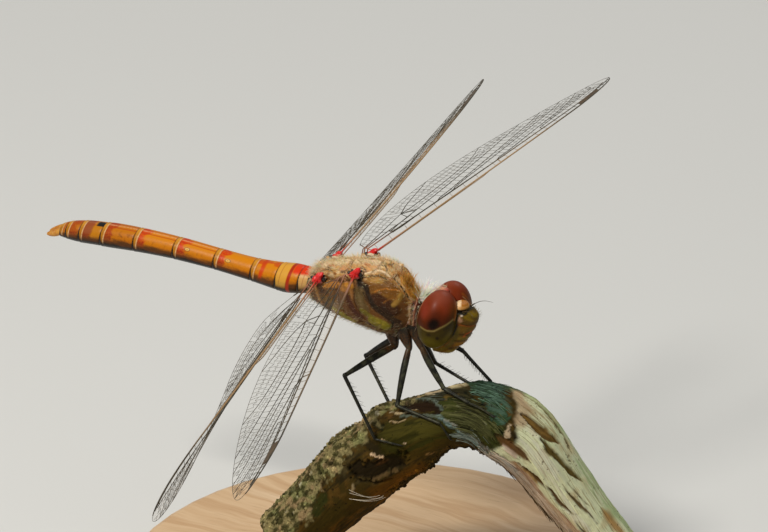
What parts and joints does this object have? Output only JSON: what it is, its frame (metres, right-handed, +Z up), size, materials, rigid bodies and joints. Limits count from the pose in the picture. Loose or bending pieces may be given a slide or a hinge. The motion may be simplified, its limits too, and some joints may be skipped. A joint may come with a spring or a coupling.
{
  "type": "dragonfly model",
  "caption": "Life-size common darter dragonfly with spread wings, gripping a bent, bark-covered stem on a round display base.",
  "frame": {"origin": "centre of the display base's underside, where the model rests", "axes": "+Z up, +X along the dragonfly's body towards its head, +Y to the dragonfly's left side"},
  "size_m": [0.0567, 0.0592, 0.0404],
  "materials": {
    "brown_cuticle": "golden brown insect cuticle with dark seams and short fine hair",
    "orange_cuticle": "satin orange and red insect cuticle with cream rings",
    "dark_cuticle": "dark brown satin insect cuticle",
    "olive_cuticle": "olive and orange satin insect cuticle",
    "eye": "glossy compound eye, red-brown above and olive below",
    "black_cuticle": "black-brown satin insect cuticle",
    "wing_membrane": "clear glossy membrane with dark veins",
    "bark": "rough bark with lichen, and weathered grey wood",
    "pale_wood": "fine sanded, satin varnish",
    "brass": "polished rod"
  },
  "bodies": {
    "root": {"thorax": "brown_cuticle", "prothorax": "brown_cuticle", "abdomen_1": "orange_cuticle", "abdomen_2": "orange_cuticle", "abdomen_3": "orange_cuticle", "abdomen_4": "orange_cuticle", "abdomen_5": "orange_cuticle", "abdomen_6": "orange_cuticle", "abdomen_7": "orange_cuticle", "abdomen_8": "orange_cuticle", "abdomen_9": "orange_cuticle", "abdomen_10": "orange_cuticle", "appendage_left": "orange_cuticle", "appendage_right": "orange_cuticle", "head": "dark_cuticle", "face": "olive_cuticle", "eye_left": "eye", "eye_right": "eye", "antenna_left": "black_cuticle", "antenna_right": "black_cuticle", "leg_front_left": "black_cuticle", "leg_front_right": "black_cuticle", "leg_middle_left": "black_cuticle", "leg_middle_right": "black_cuticle", "leg_hind_left": "black_cuticle", "leg_hind_right": "black_cuticle", "wing_fore_left": "wing_membrane", "wing_fore_right": "wing_membrane", "wing_hind_left": "wing_membrane", "wing_hind_right": "wing_membrane", "perch": "bark", "stand_base": "pale_wood", "stand_rod_1": "brass", "stand_rod_2": "brass"}
  },
  "joints": []
}
